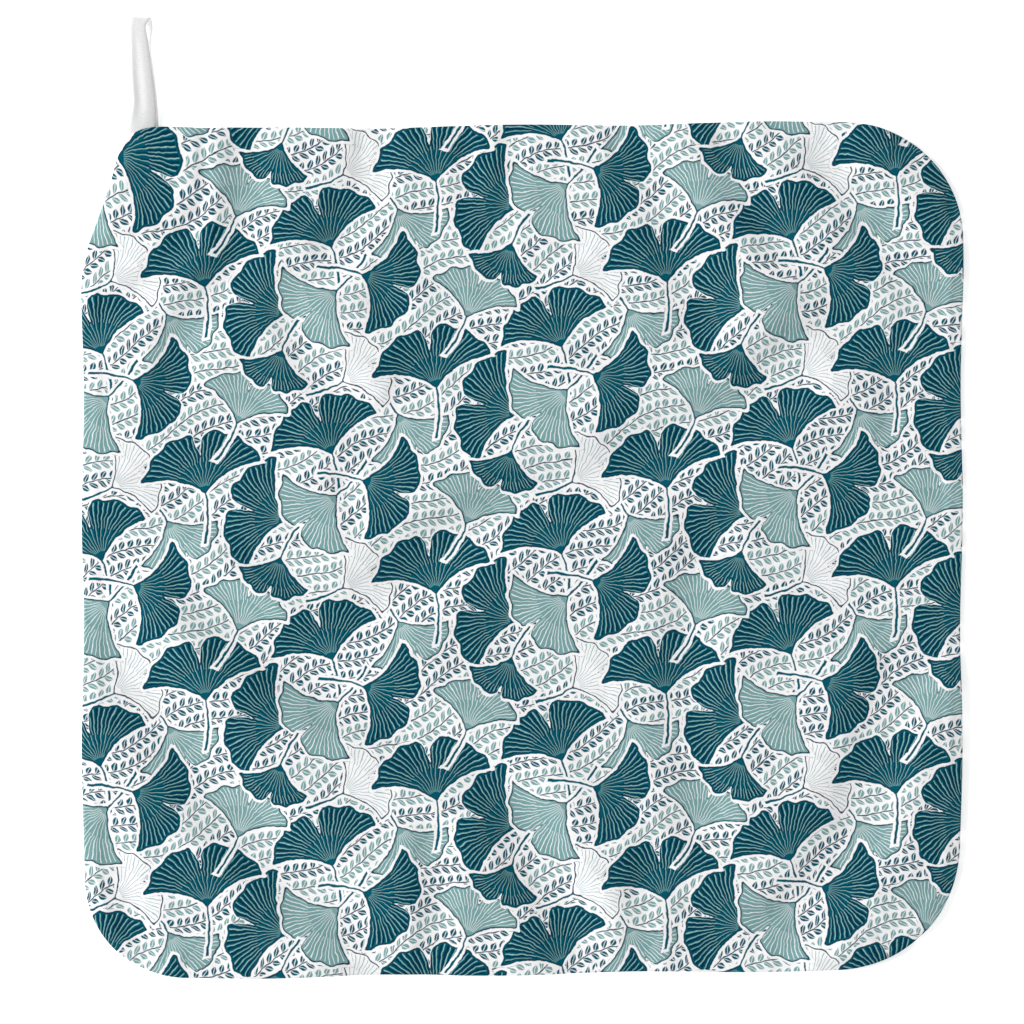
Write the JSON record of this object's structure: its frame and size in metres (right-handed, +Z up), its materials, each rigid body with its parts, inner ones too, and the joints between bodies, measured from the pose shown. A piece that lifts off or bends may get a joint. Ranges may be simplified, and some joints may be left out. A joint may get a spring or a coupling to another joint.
{
  "type": "square hand towel with hanging loop",
  "caption": "Soft square hand towel with rounded corners, a turned and stitched hem, a leaf print and a hanging loop at a corner, laid flat with shallow folds.",
  "frame": {"origin": "on the surface that the towel lies on, under the middle of its outline with the loop", "axes": "+Z up through the printed face, +Y towards the end of the loop, +X to the right seen from above"},
  "size_m": [0.2998, 0.3266, 0.0087],
  "materials": {
    "printed_cloth": "short plush pile, printed in teal, sage and mint on white",
    "loop_tape": "soft white woven tape, matt"
  },
  "bodies": {
    "root": {"towel_cloth": "printed_cloth", "hanging_loop": "loop_tape"}
  },
  "joints": []
}
